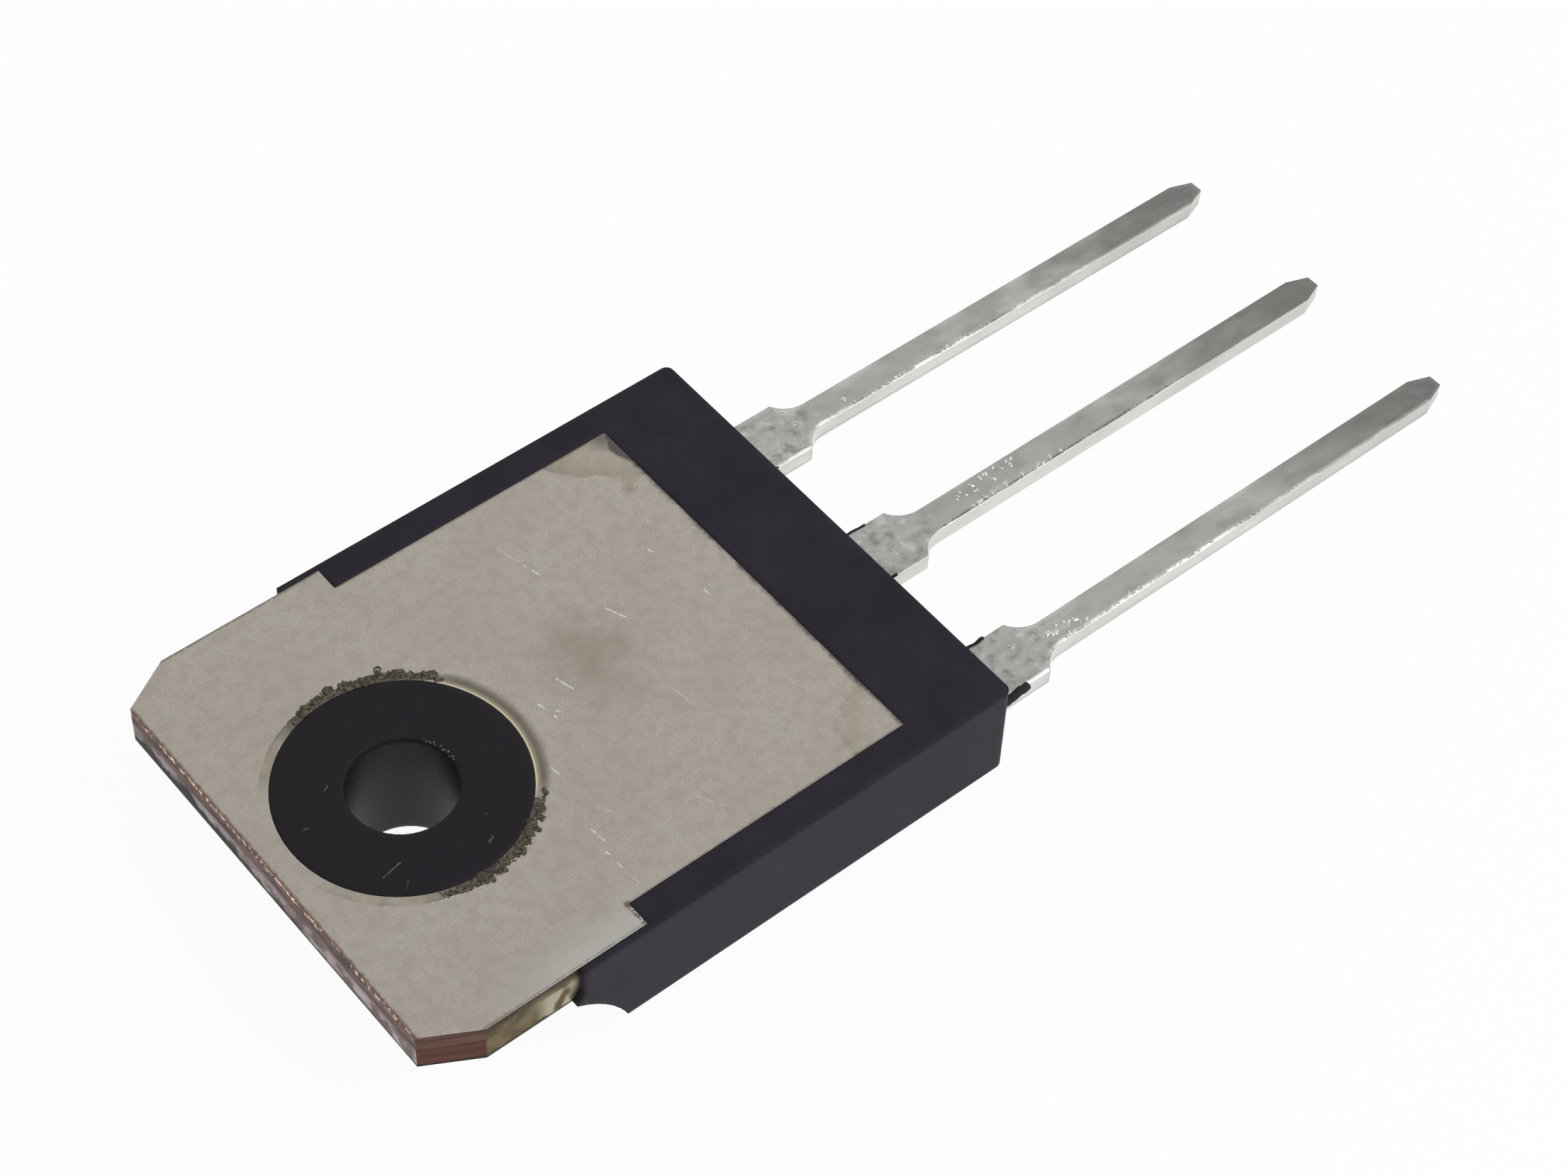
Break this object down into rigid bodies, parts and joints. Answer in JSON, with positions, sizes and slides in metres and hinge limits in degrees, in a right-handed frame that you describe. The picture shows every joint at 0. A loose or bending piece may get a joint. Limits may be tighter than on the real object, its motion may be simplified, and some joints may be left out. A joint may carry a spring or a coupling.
{
  "type": "power transistor",
  "caption": "Flat power transistor: black moulded body on a plated copper mounting plate, with an insulated screw hole for a heat sink and a row of tinned leads.",
  "frame": {"origin": "on the axis of the screw hole, in the plane of the metal mounting face", "axes": "+Z out of the mounting face, +Y along the leads towards their tips, +X towards the emitter lead"},
  "size_m": [0.0158, 0.0403, 0.0048],
  "materials": {
    "moulding_compound": "matte, fine grained",
    "nickel_plated_copper": "satin, fine scratches, bare copper on sheared edges",
    "tinned_copper": "dipped tin, slightly lumpy",
    "soft_solder": "satin",
    "silicon": "polished",
    "aluminium_wire": "drawn"
  },
  "bodies": {
    "root": {"mould_body": "moulding_compound", "collector_header": "nickel_plated_copper", "base_lead": "tinned_copper", "emitter_lead": "tinned_copper", "die_solder": "soft_solder", "silicon_die": "silicon", "base_bond_wire": "aluminium_wire", "emitter_bond_wire_1": "aluminium_wire", "emitter_bond_wire_2": "aluminium_wire"}
  },
  "joints": []
}
